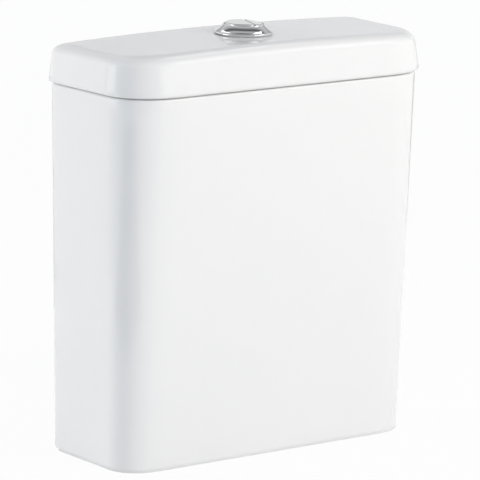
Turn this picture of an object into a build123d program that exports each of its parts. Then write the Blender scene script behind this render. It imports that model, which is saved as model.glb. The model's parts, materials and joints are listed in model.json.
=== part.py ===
from build123d import *
import os
from math import atan2, cos, degrees, pi, radians, sin, tan

# A close-coupled toilet cistern in white vitreous china, with its lid, two-part push button,
# flush valve and float-operated fill valve. Lengths are in millimetres and angles in degrees.
# The origin is on the ground under the middle of the cistern: +Z is up, -Y is the front with
# its wide flat face, +Y is the wall side, and -X is the side with the water inlet.

# Shared allowances
overrun = 2.0
thread_clearance = 0.05
running_clearance = 0.3
loose_clearance = 0.5

# Tank: a tapered bowl with a flat floor, raised on a skirt that hides the valve tails
tank_height = 352.5
tank_depth_top = 132.0
tank_depth_bottom = 123.0
front_width_top = 355.0
back_width_top = 360.0
front_width_bottom = 341.0
back_width_bottom = 338.0
wide_corner_radius = 140.0
wide_corner_turn = 8.3
tight_corner_radius_top = 42.5
tight_corner_radius_bottom = 30.0
back_corner_radius = 9.0
inner_corner_radius = 5.0
back_foot_radius = 18.0
back_grinding = 0.1
foot_edge_radius = 3.0
rim_edge_radius = 1.5
wall_thickness = 9.0
floor_thickness = 10.0
recess_depth = 34.0
skirt_thickness = 10.0
back_skirt_thickness = 24.0
pan_bolt_hole_radius = 5.5
pan_bolt_spacing = 150.0
wall_screw_hole_radius = 4.0
wall_screw_spacing = 250.0
wall_screw_drop = 40.0

# Lid: a crowned hollow slab that overhangs the rim and stands on a foot ring
seam_gap = 1.2
lid_overhang = 3.3
lid_height = 36.2
lid_crown = 4.2
lid_side_draft = 7.2
lid_front_draft = 12.4
lid_back_draft = 2.0
lid_edge_radius = 12.0
lid_lower_edge_radius = 3.0
lid_thickness = 9.0
lid_foot_inset = 3.5
lid_lip_clearance = 2.0
lid_lip_thickness = 5.0
lid_lip_drop = 7.0
lid_hole_radius = 21.0

# Push button: bezel with its threaded sleeve, guide, two caps, two rods and two springs
bezel_radius = 28.0
bezel_edge_height = 2.9
bezel_edge_round = 1.3
bezel_ring_height = 9.3
bezel_ring_radius = 19.7
bezel_bulge = 0.5
well_radius = 18.6
sleeve_outer_radius = 20.5
sleeve_length = 24.0
sleeve_nut_height = 8.0
sleeve_nut_radius = 27.0
nut_grip_count = 8
nut_grip_radius = 2.5
sleeve_washer_thickness = 1.5
cap_radius = 18.15
cap_height = 10.8
cap_edge_radius = 1.5
cap_wall = 1.6
cap_top_thickness = 2.2
cap_skirt_depth = 17.0
cap_gap = 0.5
cap_split_offset = 4.85
half_cap_slope = 5.5
button_travel = 6.0
button_turn = -19.3
full_rod_offset = 8.0
half_rod_offset = 11.5
rod_radius = 2.0
rod_socket_radius = 3.1
rod_socket_depth = 11.0
guide_thickness = 3.0
guide_boss_height = 5.0
guide_boss_radius = 3.1
spring_radius = 4.0
spring_wire_radius = 0.4
spring_turns = 6
spring_arcs_per_turn = 4

# Flush valve: base, tower and head fixed to the floor, and a tube that lifts the seal
valve_y = 3.0
tail_radius = 29.8
tail_bore_radius = 25.5
tail_bore_length = 38.0
seat_bore_radius = 25.0
tail_end_height = 2.0
tail_hole_clearance = 1.4
base_washer_thickness = 3.0
base_washer_radius = 40.0
base_flange_radius = 40.0
base_flange_thickness = 4.0
seat_height = 7.0
seat_thickness = 2.5
cage_post_count = 4
cage_post_width = 9.0
cage_ring_inner_radius = 32.0
cage_ring_outer_radius = 36.5
cage_height = 41.0
cage_ring_height = 8.0
tail_nut_radius = 36.0
tail_nut_height = 10.0
tail_nut_lug_count = 6
tail_nut_lug_width = 10.0
tail_nut_lug_depth = 3.0
coupling_radius = 38.0
coupling_end_height = 6.0
tower_radius = 25.0
tower_wall = 2.5
tower_height = 156.0
tower_flange_thickness = 4.0
tower_spigot_depth = 6.0
tower_spigot_wall = 3.0
tower_slot_count = 4
tower_slot_width = 14.0
tower_slot_margin = 14.0
tower_guide_height = 8.0
tower_top_radius = 29.0
tube_radius = 14.0
tube_bore_radius = 12.0
tube_height = 282.0
tube_flange_radius = 24.0
tube_flange_thickness = 3.0
seal_radius = 30.0
seal_thickness = 3.0
seal_clamp_radius = 21.0
seal_clamp_height = 5.0
tube_tail = 9.0
tube_float_radius = 21.5
tube_float_height = 42.0
tube_float_place = 150.0
float_clip_height = 6.0
float_clip_radius = 18.0
head_base_thickness = 4.0
head_base_radius = 29.0
head_base_bore = 17.0
head_plate_thickness = 3.0
head_plate_gap = 40.0
head_plate_margin = 8.0
head_plate_height = 60.0
head_window_width = 24.0
head_window_height = 22.0
pivot_offset = 26.0
pivot_height = 52.0
pivot_pin_radius = 2.0
pivot_pin_head_radius = 3.5
pivot_pin_head_thickness = 1.5
rocker_thickness = 5.0
rocker_width = 10.0
rocker_boss_radius = 5.0
rocker_outer_arm = 18.0
rocker_pad_radius = 5.0
rod_tip_gap = 0.3
yoke_collar_radius = 18.0
yoke_collar_height = 12.0
yoke_bar_width = 14.0
yoke_bar_thickness = 6.0
yoke_rise = 6.0
yoke_post_thickness = 4.0
yoke_post_gap = 2.0
yoke_hook_reach = 10.0
yoke_hook_thickness = 4.0
hook_gap = 0.4
half_hook_gap = 8.8
pad_ratio_allowance = 1.0

# Fill valve: threaded inlet shank, riser, valve head, lever and a float round the riser
fill_side_distance = 70.0
fill_y = 4.0
inlet_tail_radius = 10.45
inlet_bore_radius = 6.0
inlet_end_height = 4.0
inlet_thread_length = 20.0
inlet_relief_width = 1.5
inlet_relief_depth = 0.6
inlet_hole_radius = 11.5
inlet_washer_thickness = 3.0
inlet_flange_radius = 17.0
inlet_flange_thickness = 4.0
inlet_nut_across_flats = 30.0
inlet_nut_height = 8.0
filter_length = 20.0
filter_wall = 0.9
filter_slot_count = 6
filter_slot_width = 2.2
filter_slot_margin = 3.0
shank_body_radius = 11.5
shank_body_height = 26.0
shank_socket_depth = 16.0
riser_radius = 8.5
riser_bore_radius = 6.0
riser_top_height = 242.0
lock_ring_height = 9.0
lock_ring_radius = 14.5
lock_ring_grip_count = 10
lock_ring_grip_radius = 1.6
head_radius = 16.0
head_height = 30.0
head_socket_depth = 10.0
outlet_offset = 40.0
outlet_arm_radius = 7.5
outlet_arm_drop = 9.0
outlet_bore_radius = 5.0
outlet_cup_height = 12.0
outlet_cup_wall = 1.2
silencer_radius = 6.9
silencer_length = 150.0
diaphragm_thickness = 1.6
diaphragm_radius = 15.2
cap_ring_radius = 19.0
cap_ring_height = 22.0
cap_crown_thickness = 8.5
cap_grip_count = 16
cap_grip_depth = 0.8
ear_gap = 9.0
ear_thickness = 3.0
ear_length = 9.0
ear_corner_radius = 3.0
lever_pivot_x = -8.0
lever_pivot_rise = 6.0
lever_pin_radius = 1.5
lever_ear_rise = 10.0
lever_thickness = 4.0
lever_width = 8.0
lever_boss_radius = 3.6
lever_short_arm = 8.0
lever_long_arm = 30.0
lever_fork_width = 13.0
lever_fork_slot = 5.2
lever_fork_length = 8.0
float_radius = 30.0
float_height = 55.0
float_place = 150.0
float_edge_radius = 4.0
float_bore_clearance = 0.8
float_ear_thickness = 5.0
float_ear_width = 12.0
float_ear_end = 7.0
link_radius = 2.0
link_collar_radius = 4.0
link_collar_height = 3.0
link_collar_gap = 1.9
link_clip_radius = 5.0
link_clip_height = 6.0
link_screw_head_radius = 4.0

# Heights and places that follow from the sizes above
fill_x = fill_side_distance - back_width_top / 2
head_plate_length = 2 * (pivot_offset + head_plate_margin)
back_y = tank_depth_top / 2
floor_top = recess_depth + floor_thickness
lid_base = tank_height + seam_gap
crest = lid_base + lid_height + lid_crown
lid_half_width = back_width_top / 2 + lid_overhang
crown_radius = (lid_half_width ** 2 + lid_crown ** 2) / (2 * lid_crown)
flange_top = floor_top + base_washer_thickness + base_flange_thickness
seat_top = flange_top + seat_height
cage_top = flange_top + cage_height
tower_top = cage_top + tower_height
head_floor = tower_top + head_base_thickness
pivot_z = head_floor + pivot_height
rod_tip = pivot_z + rocker_thickness / 2 + rod_tip_gap
full_pad_arm = pivot_offset - full_rod_offset
half_pad_arm = pivot_offset - half_rod_offset
full_swing = button_travel / (full_pad_arm - pad_ratio_allowance)
tube_lift = full_swing * rocker_outer_arm
yoke_bottom = head_floor + yoke_rise
yoke_inner = pivot_offset + rocker_outer_arm + yoke_post_gap
ceiling = crest - lid_thickness
clamp_face = ceiling - sleeve_nut_radius ** 2 / (2 * (crown_radius - lid_thickness))
sleeve_bottom = crest - sleeve_length
guide_top = sleeve_bottom + guide_thickness
cap_top = crest + cap_height
cap_roof = cap_top - cap_top_thickness
inlet_flange_bottom = floor_top + inlet_washer_thickness
inlet_flange_top = inlet_flange_bottom + inlet_flange_thickness
shank_top = inlet_flange_top + shank_body_height
head_bottom = riser_top_height - head_socket_depth
head_top = head_bottom + head_height
cap_underside = head_top + diaphragm_thickness
cap_crown_top = cap_underside + cap_crown_thickness
lever_z = cap_crown_top + lever_pivot_rise
link_x = lever_pivot_x - lever_long_arm
standing = (Align.CENTER, Align.CENTER, Align.MIN)


def rod(radius, low, high):
    """Upright round bar between two heights."""
    return Pos(0, 0, low) * Cylinder(radius, high - low, align=standing)


def tube(outer, inner, low, high):
    """Upright round tube or ring between two heights."""
    return rod(outer, low, high) - Pos(0, 0, low) * Cylinder(inner, high - low, align=standing)


def block(x_low, x_high, y_low, y_high, low, high):
    """Rectangular block between three pairs of limits."""
    shape = Box(x_high - x_low, y_high - y_low, high - low, align=(Align.MIN,) * 3)
    return Pos(x_low, y_low, low) * shape


def round_about(shape, count, start=0):
    """Copies of a shape spaced evenly about the upright axis."""
    return [Rot(0, 0, start + 360 / count * n) * shape for n in range(count)]


def on_valve(shape):
    """Move a flush valve piece to its place, turned with the button."""
    return Pos(0, valve_y, 0) * Rot(0, 0, button_turn) * shape


def on_fill(shape):
    """Move a fill valve piece to its place."""
    return Pos(fill_x, fill_y, 0) * shape


def blend(low, high, share):
    """Value part of the way from low to high."""
    return low + (high - low) * share


def plan(z, front_width, back_width, front_y, rear_y, wide, tight, rear):
    """Level face: flat front, a wide then a tight arc at each front corner, sides opening to the back.

    A rear corner radius of zero leaves the rear corners sharp.
    """
    lean = atan2((back_width - front_width) / 2, rear_y - front_y)
    bend = radians(wide_corner_turn)
    side_heading = pi / 2 - lean

    def arc_run(radius, start, stop):
        return radius * (sin(stop) - sin(start)), radius * (cos(start) - cos(stop))

    def side_x(y):
        return front_width / 2 + (y - front_y) * tan(lean)

    wide_run = arc_run(wide, 0, bend)
    wide_mid = arc_run(wide, 0, bend / 2)
    tight_run = arc_run(tight, bend, side_heading)
    tight_mid = arc_run(tight, bend, (bend + side_heading) / 2)
    side_start = front_y + wide_run[1] + tight_run[1]
    corner_x = side_x(side_start) - tight_run[0] - wide_run[0]
    corner_y = front_y + wide_run[1]
    stations = [
        (corner_x, front_y),
        (corner_x + wide_mid[0], front_y + wide_mid[1]),
        (corner_x + wide_run[0], corner_y),
        (corner_x + wide_run[0] + tight_mid[0], corner_y + tight_mid[1]),
        (side_x(side_start), side_start),
    ]
    if rear:
        rear_start = rear_y - rear * (1 + cos(side_heading))
        half_way = (side_heading + pi) / 2
        swing = arc_run(rear, side_heading, half_way)
        full = arc_run(rear, side_heading, pi)
        stations.append((side_x(rear_start), rear_start))
        stations.append((side_x(rear_start) + swing[0], rear_start + swing[1]))
        stations.append((side_x(rear_start) + full[0], rear_y))
    else:
        stations.append((side_x(rear_y), rear_y))
    right = [Vector(x, y, z) for x, y in stations]
    left = [Vector(-x, y, z) for x, y in stations]
    edges = [Line(left[0], right[0])]
    edges.append(ThreePointArc(right[0], right[1], right[2]))
    edges.append(ThreePointArc(right[2], right[3], right[4]))
    edges.append(Line(right[4], right[5]))
    if rear:
        edges.append(ThreePointArc(right[5], right[6], right[7]))
    edges.append(Line(right[-1], left[-1]))
    if rear:
        edges.append(ThreePointArc(left[7], left[6], left[5]))
    edges.append(Line(left[5], left[4]))
    edges.append(ThreePointArc(left[4], left[3], left[2]))
    edges.append(ThreePointArc(left[2], left[1], left[0]))
    return Face(Wire(edges))


def tank_plan(z, inset=0, rear_inset=None):
    """Level section through the tank's taper, drawn in by a wall thickness."""
    share = z / tank_height
    rear_inset = inset if rear_inset is None else rear_inset
    return plan(
        z,
        blend(front_width_bottom, front_width_top, share) - 2 * inset,
        blend(back_width_bottom, back_width_top, share) - 2 * inset,
        back_y - blend(tank_depth_bottom, tank_depth_top, share) + inset,
        back_y - rear_inset,
        wide_corner_radius - inset,
        max(blend(tight_corner_radius_bottom, tight_corner_radius_top, share) - inset, inner_corner_radius),
        max(back_corner_radius - inset, inner_corner_radius),
    )


def cistern_tank():
    """The china bowl: tapered walls, floor, open skirt below, and holes for valves and fixings."""
    body = loft(
        [tank_plan(0, 0, -back_grinding), tank_plan(tank_height, 0, -back_grinding)], ruled=True
    )
    ground = block(-back_width_top, back_width_top, back_y, back_y + overrun, -overrun, 2 * tank_height)
    body -= ground
    body = fillet(body.faces().sort_by(Axis.Z)[0].edges(), foot_edge_radius)
    body = fillet(body.faces().sort_by(Axis.Z)[-1].edges(), rim_edge_radius)
    heel_corner = Vector(0, back_y + overrun, -overrun)
    heel_start = Vector(0, back_y - back_foot_radius, 0)
    heel_end = Vector(0, back_y, back_foot_radius)
    heel_mid = Vector(
        0,
        back_y - back_foot_radius * (1 - sin(pi / 4)),
        back_foot_radius * (1 - cos(pi / 4)),
    )
    heel = Face(
        Wire(
            [
                ThreePointArc(heel_start, heel_mid, heel_end),
                Line(heel_end, Vector(0, heel_corner.Y, heel_end.Z)),
                Line(Vector(0, heel_corner.Y, heel_end.Z), heel_corner),
                Line(heel_corner, Vector(0, heel_start.Y, heel_corner.Z)),
                Line(Vector(0, heel_start.Y, heel_corner.Z), heel_start),
            ]
        )
    )
    body -= extrude(heel, back_width_top, dir=(1, 0, 0), both=True)
    recess = [
        tank_plan(-overrun, skirt_thickness, back_skirt_thickness),
        tank_plan(recess_depth, skirt_thickness, back_skirt_thickness),
    ]
    body -= loft(recess, ruled=True)
    chamber = [tank_plan(floor_top, wall_thickness), tank_plan(tank_height + overrun, wall_thickness)]
    body -= loft(chamber, ruled=True)
    low = recess_depth - overrun
    high = floor_top + overrun
    body -= Pos(0, valve_y, 0) * rod(tail_radius + tail_hole_clearance, low, high)
    body -= on_fill(rod(inlet_hole_radius, low, high))
    for side in (-1, 1):
        body -= Pos(side * pan_bolt_spacing / 2, valve_y, 0) * rod(pan_bolt_hole_radius, low, high)
        screw = Cylinder(wall_screw_hole_radius, 2 * (wall_thickness + overrun), rotation=(90, 0, 0))
        body -= Pos(side * wall_screw_spacing / 2, back_y, tank_height - wall_screw_drop) * screw
    return body


def crown_block(top, radius):
    """Block under an arch along X, used to give the lid its crowned top and ceiling."""
    reach = lid_half_width + lid_overhang
    sag = radius - (radius ** 2 - reach ** 2) ** 0.5
    low = tank_height - lid_lip_drop - overrun
    arch = Face(
        Wire(
            [
                ThreePointArc(
                    Vector(-reach, 0, top - sag), Vector(0, 0, top), Vector(reach, 0, top - sag)
                ),
                Line(Vector(reach, 0, top - sag), Vector(reach, 0, low)),
                Line(Vector(reach, 0, low), Vector(-reach, 0, low)),
                Line(Vector(-reach, 0, low), Vector(-reach, 0, top - sag)),
            ]
        )
    )
    return extrude(arch, tank_depth_top, dir=(0, 1, 0), both=True)


def lid_plan(z):
    """Level section through the lid's outer shape, drawn in by the drafts above its lower edge."""
    rise = z - lid_base - lid_lower_edge_radius
    side_in = rise * tan(radians(lid_side_draft)) - lid_overhang
    front_in = rise * tan(radians(lid_front_draft)) - lid_overhang
    back_in = rise * tan(radians(lid_back_draft)) - lid_overhang
    return plan(
        z,
        front_width_top - 2 * side_in,
        back_width_top - 2 * side_in,
        back_y - tank_depth_top + front_in,
        back_y - back_in,
        wide_corner_radius + lid_overhang,
        tight_corner_radius_top - front_in / 2,
        0,
    )


def lid():
    """The china lid: crowned top, hollow below, a foot that stands on the rim and a locating lip."""
    blank = loft([lid_plan(lid_base), lid_plan(crest + overrun)], ruled=True)
    shell = blank & crown_block(crest, crown_radius)
    top_edges = shell.faces().sort_by(Axis.Z)[-1].edges()
    rear_edges = shell.faces().sort_by(Axis.Y)[-1].edges().sort_by(Axis.X)
    shell = fillet([*top_edges, rear_edges[0], rear_edges[-1]], lid_edge_radius)
    shell = fillet(shell.faces().sort_by(Axis.Z)[0].edges(), lid_lower_edge_radius)
    joined = lid_base + lid_lower_edge_radius
    lip_inset = wall_thickness + lid_lip_clearance
    lip_bottom = tank_height - lid_lip_drop
    shell += extrude(tank_plan(tank_height, lid_foot_inset), joined - tank_height)
    lip = tank_plan(tank_height, lip_inset).moved(Location((0, 0, -lid_lip_drop)))
    shell += extrude(lip, joined - lip_bottom)
    hollow = tank_plan(tank_height, lip_inset + lid_lip_thickness)
    hollow = hollow.moved(Location((0, 0, -lid_lip_drop - overrun)))
    hollow = extrude(hollow, crest - lip_bottom)
    shell -= hollow & crown_block(ceiling, crown_radius - lid_thickness)
    shell -= Pos(0, valve_y, 0) * rod(lid_hole_radius, tank_height, crest + overrun)
    return shell


def button_bezel():
    """Chromed ring: a domed flange on the lid with a threaded sleeve down through the lid's hole."""
    edge_top = crest + bezel_edge_height
    ring_top = crest + bezel_ring_height
    dome_mid = (
        (bezel_radius - bezel_edge_round + bezel_ring_radius) / 2 + bezel_bulge,
        (edge_top + ring_top) / 2 + bezel_bulge,
    )
    outline = [
        Line((well_radius, sleeve_bottom), (sleeve_outer_radius, sleeve_bottom)),
        Line((sleeve_outer_radius, sleeve_bottom), (sleeve_outer_radius, crest)),
        Line((sleeve_outer_radius, crest), (bezel_radius - bezel_edge_round, crest)),
        ThreePointArc(
            (bezel_radius - bezel_edge_round, crest),
            (bezel_radius, crest + bezel_edge_height / 2),
            (bezel_radius - bezel_edge_round, edge_top),
        ),
        ThreePointArc((bezel_radius - bezel_edge_round, edge_top), dome_mid, (bezel_ring_radius, ring_top)),
        Line((bezel_ring_radius, ring_top), (well_radius, ring_top)),
        Line((well_radius, ring_top), (well_radius, sleeve_bottom)),
    ]
    return on_valve(revolve(Plane.XZ * Face(Wire(outline)), Axis.Z))


def bezel_washer():
    """Rubber ring between the lid's ceiling and the sleeve nut."""
    low = clamp_face - sleeve_washer_thickness
    return on_valve(tube(sleeve_nut_radius, sleeve_outer_radius + loose_clearance, low, clamp_face))


def bezel_nut():
    """Plastic ring nut that clamps the bezel to the lid, with finger grips round its edge."""
    high = clamp_face - sleeve_washer_thickness
    low = high - sleeve_nut_height
    nut = tube(sleeve_nut_radius, sleeve_outer_radius + thread_clearance, low, high)
    grip = Pos(sleeve_nut_radius, 0, 0) * rod(nut_grip_radius, low - overrun, high - nut_grip_radius / 2)
    return on_valve(nut - round_about(grip, nut_grip_count))


def button_guide():
    """Plastic disc in the foot of the sleeve: it guides both rods and carries both springs."""
    guide = rod(well_radius - thread_clearance, sleeve_bottom, guide_top)
    boss_top = guide_top + guide_boss_height
    places = (-full_rod_offset, half_rod_offset)
    for x in places:
        guide += Pos(x, 0, 0) * rod(guide_boss_radius, guide_top, boss_top)
    for x in places:
        guide -= Pos(x, 0, 0) * rod(rod_radius + running_clearance, sleeve_bottom, boss_top)
    return on_valve(guide)


def half_space(x_low, x_high):
    """Tall block across the button between two places along its split."""
    return block(x_low, x_high, -bezel_radius, bezel_radius, sleeve_bottom, cap_top + cap_height)


def button_cap(side):
    """One of the two hollow chromed caps: side -1 is the large one and +1 the small one."""
    low = cap_top - cap_skirt_depth
    blank = rod(cap_radius, low, cap_top)
    blank = fillet(blank.edges().sort_by(Axis.Z)[-1], cap_edge_radius)
    edge = cap_split_offset + side * cap_gap / 2
    inner_edge = edge + side * cap_wall
    far = side * bezel_radius
    hollow = rod(cap_radius - cap_wall, low, cap_roof)
    place = half_rod_offset
    if side < 0:
        place = -full_rod_offset
    socket = Pos(place, 0, 0) * rod(rod_socket_radius, cap_roof - rod_socket_depth, cap_roof)
    hollow = hollow & half_space(min(inner_edge, far), max(inner_edge, far))
    cap = (blank & half_space(min(edge, far), max(edge, far))) - hollow + socket
    if side > 0:
        ramp = block(-cap_radius, 2 * cap_radius, -cap_radius, cap_radius, 0, cap_height)
        cap -= Pos(edge, 0, cap_top - running_clearance) * Rot(0, half_cap_slope, 0) * ramp
    cap -= Pos(place, 0, 0) * rod(rod_radius + thread_clearance, low, cap_roof - rod_radius)
    return on_valve(cap)


def push_rod(place):
    """Plastic rod screwed into a cap, with a round end that pushes on a rocker."""
    bar = rod(rod_radius, rod_tip + rod_radius, cap_roof - rod_radius)
    return on_valve(Pos(place, 0, 0) * (bar + Pos(0, 0, rod_tip + rod_radius) * Sphere(rod_radius)))


def paired_arcs(start, start_run, end, end_run):
    """Two arcs that leave one point and reach another along given unit directions."""
    chord = end - start
    runs = start_run + end_run
    spread = 2 * (1 - start_run.dot(end_run))
    along = chord.dot(runs)
    reach = ((along ** 2 + spread * chord.dot(chord)) ** 0.5 - along) / spread
    first = start + start_run * reach
    last = end - end_run * reach
    middle = (first + last) / 2
    return [
        TangentArc([start, middle], tangent=start_run),
        TangentArc([middle, end], tangent=last - first),
    ]


def button_spring(place):
    """Steel coil spring between the guide and the underside of a cap, round the rod."""
    low = guide_top + spring_wire_radius
    high = cap_roof - spring_wire_radius - running_clearance
    climb = (high - low) / (2 * pi * spring_turns)
    count = spring_turns * spring_arcs_per_turn
    stations = []
    for n in range(count + 1):
        angle = 2 * pi * n / spring_arcs_per_turn
        point = Vector(spring_radius * cos(angle), spring_radius * sin(angle), climb * angle)
        run = Vector(-spring_radius * sin(angle), spring_radius * cos(angle), climb).normalized()
        stations.append((point, run))
    arcs = []
    for (point, run), (next_point, next_run) in zip(stations, stations[1:]):
        arcs += paired_arcs(point, run, next_point, next_run)
    gaps = [
        (upper[0] - lower[0]).length - 2 * spring_wire_radius
        for lower, upper in zip(stations, stations[spring_arcs_per_turn:])
    ]
    print("least gap in a button spring, mm:", round(min(gaps), 2))
    start = Plane(origin=stations[0][0], z_dir=stations[0][1])
    coil = sweep(start * Circle(spring_wire_radius), path=Wire(arcs))
    return on_valve(Pos(place, 0, low) * coil)


def valve_base():
    """Flush valve base: threaded tail through the floor, flange, seat, and an open cage with a ring."""
    washer_top = floor_top + base_washer_thickness
    body = tube(tail_radius, seat_bore_radius, tail_end_height, washer_top)
    body += tube(base_flange_radius, seat_bore_radius, washer_top, flange_top)
    body += tube(seat_bore_radius + seat_thickness, seat_bore_radius, flange_top, seat_top)
    body -= rod(tail_bore_radius, tail_end_height, tail_end_height + tail_bore_length)
    ring_bottom = cage_top - cage_ring_height
    body += tube(cage_ring_outer_radius, cage_ring_inner_radius, ring_bottom, cage_top)
    wall = tube(cage_ring_outer_radius, cage_ring_inner_radius, flange_top, ring_bottom)
    post = block(
        0, base_flange_radius, -cage_post_width / 2, cage_post_width / 2, flange_top, ring_bottom
    )
    for arm in round_about(post, cage_post_count, 180 / cage_post_count):
        body += wall & arm
    return on_valve(body)


def base_washer():
    """Rubber ring between the base flange and the tank floor."""
    high = floor_top + base_washer_thickness
    return on_valve(tube(base_washer_radius, tail_radius + loose_clearance, floor_top, high))


def tail_nut():
    """Large plastic nut under the floor, with lugs for a spanner."""
    low = recess_depth - tail_nut_height
    root = tail_nut_radius - tail_nut_lug_depth
    nut = tube(root, tail_radius + thread_clearance, low, recess_depth)
    lug = block(
        root - overrun, tail_nut_radius, -tail_nut_lug_width / 2, tail_nut_lug_width / 2, low, recess_depth
    )
    for piece in round_about(lug, tail_nut_lug_count):
        nut += piece
    return on_valve(nut)


def coupling_washer():
    """Thick foam ring below the nut that seals against the pan."""
    high = recess_depth - tail_nut_height
    ring = tube(coupling_radius, tail_radius + loose_clearance, coupling_end_height, high)
    return on_valve(ring)


def valve_tower():
    """Slotted tube that stands in the base cage and guides the overflow tube."""
    flange_high = cage_top + tower_flange_thickness
    slot_low = flange_high + tower_slot_margin
    slot_high = tower_top - tower_guide_height - tower_slot_margin
    body = tube(cage_ring_outer_radius, tube_radius + running_clearance, cage_top, flange_high)
    spigot = cage_ring_inner_radius - thread_clearance
    body += tube(spigot, spigot - tower_spigot_wall, cage_top - tower_spigot_depth, cage_top)
    body += tube(tower_radius, tower_radius - tower_wall, flange_high, tower_top)
    body += tube(tower_top_radius, tower_radius - tower_wall, tower_top - tower_flange_thickness, tower_top)
    body += tube(tower_radius, tube_radius + running_clearance, tower_top - tower_guide_height, tower_top)
    slot = block(0, tower_top_radius, -tower_slot_width / 2, tower_slot_width / 2, slot_low, slot_high)
    body -= round_about(slot, tower_slot_count)
    return on_valve(body)


def tower_head():
    """Head on the tower: a base ring and two plates that carry the rocker pins."""
    body = tube(head_base_radius, head_base_bore, tower_top, head_floor)
    top = head_floor + head_plate_height
    half = head_plate_length / 2
    inner = head_plate_gap / 2
    outer = inner + head_plate_thickness
    for side in (-1, 1):
        near, far = sorted((side * inner, side * outer))
        plate = block(-half, half, near, far, tower_top, top)
        corner = block(head_base_radius - overrun, half, near, far, tower_top, head_floor)
        plate -= [corner, mirror(corner, Plane.YZ)]
        window = block(
            -head_window_width / 2,
            head_window_width / 2,
            near,
            far,
            top - head_window_height - head_base_thickness,
            top + overrun,
        )
        plate -= window
        for place in (-pivot_offset, pivot_offset):
            bore = Cylinder(pivot_pin_radius + thread_clearance, head_plate_length, rotation=(90, 0, 0))
            plate -= Pos(place, 0, pivot_z) * bore
        body += plate
    return on_valve(body)


def rocker_pin(side):
    """Steel pin across the head plates, with a flat head at the front."""
    reach = head_plate_gap / 2 + head_plate_thickness
    length = 2 * reach + pivot_pin_head_thickness
    pin = Pos(0, pivot_pin_head_thickness / 2, 0) * Cylinder(pivot_pin_radius, length, rotation=(90, 0, 0))
    head = Cylinder(pivot_pin_head_radius, pivot_pin_head_thickness, rotation=(90, 0, 0))
    pin += Pos(0, -reach - pivot_pin_head_thickness / 2, 0) * head
    return on_valve(Pos(side * pivot_offset, 0, pivot_z) * pin)


def rocker(side, pad_arm):
    """Lever on a head pin: the rod pushes its inner end down and its outer end rises."""
    half = rocker_width / 2
    low = -rocker_thickness / 2
    high = rocker_thickness / 2
    bar = block(-pad_arm, rocker_outer_arm, -half, half, low, high)
    bar = fillet(bar.edges().filter_by(Axis.Z).sort_by(Axis.X)[-2:], half / 2)
    bar += Cylinder(rocker_boss_radius, rocker_width, rotation=(90, 0, 0))
    bar += Pos(-pad_arm, 0, 0) * rod(rocker_pad_radius, low, high)
    hub = Cylinder(rocker_boss_radius, head_plate_gap - 2 * running_clearance, rotation=(90, 0, 0))
    bar += hub
    bar -= Cylinder(pivot_pin_radius + thread_clearance, head_plate_gap, rotation=(90, 0, 0))
    if side < 0:
        bar = Rot(0, 0, 180) * bar
    return on_valve(Pos(side * pivot_offset, 0, pivot_z) * bar)


def lift_yoke():
    """Crossbar clamped on the overflow tube, with a hook over the outer end of each rocker."""
    body = rod(yoke_collar_radius, yoke_bottom, yoke_bottom + yoke_collar_height)
    outer = yoke_inner + yoke_post_thickness
    half = yoke_bar_width / 2
    body += block(-outer, outer, -half, half, yoke_bottom, yoke_bottom + yoke_bar_thickness)
    for side, gap in ((-1, hook_gap), (1, half_hook_gap)):
        low = pivot_z + rocker_thickness / 2 + gap
        post = block(yoke_inner, outer, -half, half, yoke_bottom, low + yoke_hook_thickness)
        hook = block(outer - yoke_hook_reach, outer, -half, half, low, low + yoke_hook_thickness)
        arm = post + hook
        if side < 0:
            arm = mirror(arm, Plane.YZ)
        body += arm
    body -= rod(tube_radius + thread_clearance, yoke_bottom, yoke_bottom + yoke_collar_height)
    return on_valve(body)


def overflow_tube():
    """Open tube that carries the seal at its foot and takes any overflow at its top."""
    seal_top = seat_top + seal_thickness
    body = tube(tube_radius, tube_bore_radius, seat_top - tube_tail, tube_height)
    body += tube(tube_flange_radius, tube_bore_radius, seal_top, seal_top + tube_flange_thickness)
    return on_valve(body)


def seat_seal():
    """Soft silicone disc that closes on the seat."""
    high = seat_top + seal_thickness
    return on_valve(tube(seal_radius, tube_radius + thread_clearance, seat_top, high))


def seal_clamp():
    """Ring nut under the seal that holds it to the tube flange."""
    low = seat_top - seal_clamp_height
    return on_valve(tube(seal_clamp_radius, tube_radius + thread_clearance, low, seat_top))


def tube_float():
    """Foam float ring inside the tower, which delays the closing of the tube."""
    high = tube_float_place + tube_float_height
    return on_valve(tube(tube_float_radius, tube_radius + thread_clearance, tube_float_place, high))


def float_clip():
    """Plastic clip on the tube that sets the height of the float ring."""
    low = tube_float_place + tube_float_height
    high = low + float_clip_height
    return on_valve(tube(float_clip_radius, tube_radius + thread_clearance, low, high))


def inlet_shank():
    """Inlet fitting: threaded tail through the floor, flange, and a socket for the riser."""
    body = rod(inlet_tail_radius, inlet_end_height, inlet_flange_bottom)
    relief_low = inlet_end_height + inlet_thread_length
    relief_high = relief_low + inlet_relief_width
    body -= tube(inlet_flange_radius, inlet_tail_radius - inlet_relief_depth, relief_low, relief_high)
    body += rod(inlet_flange_radius, inlet_flange_bottom, inlet_flange_top)
    body += rod(shank_body_radius, inlet_flange_top, shank_top)
    body -= rod(inlet_bore_radius, inlet_end_height, shank_top)
    body -= rod(riser_radius + thread_clearance, shank_top - shank_socket_depth, shank_top)
    return on_fill(body)


def inlet_washer():
    """Rubber ring between the inlet flange and the tank floor."""
    bore = inlet_tail_radius + loose_clearance
    return on_fill(tube(inlet_flange_radius, bore, floor_top, inlet_flange_bottom))


def inlet_nut():
    """Hexagon nut under the floor on the inlet tail."""
    low = recess_depth - inlet_nut_height
    hexagon = RegularPolygon(inlet_nut_across_flats / 2, 6, major_radius=False)
    nut = extrude(Pos(0, 0, low) * hexagon, inlet_nut_height)
    return on_fill(nut - rod(inlet_tail_radius + thread_clearance, low, recess_depth))


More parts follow.
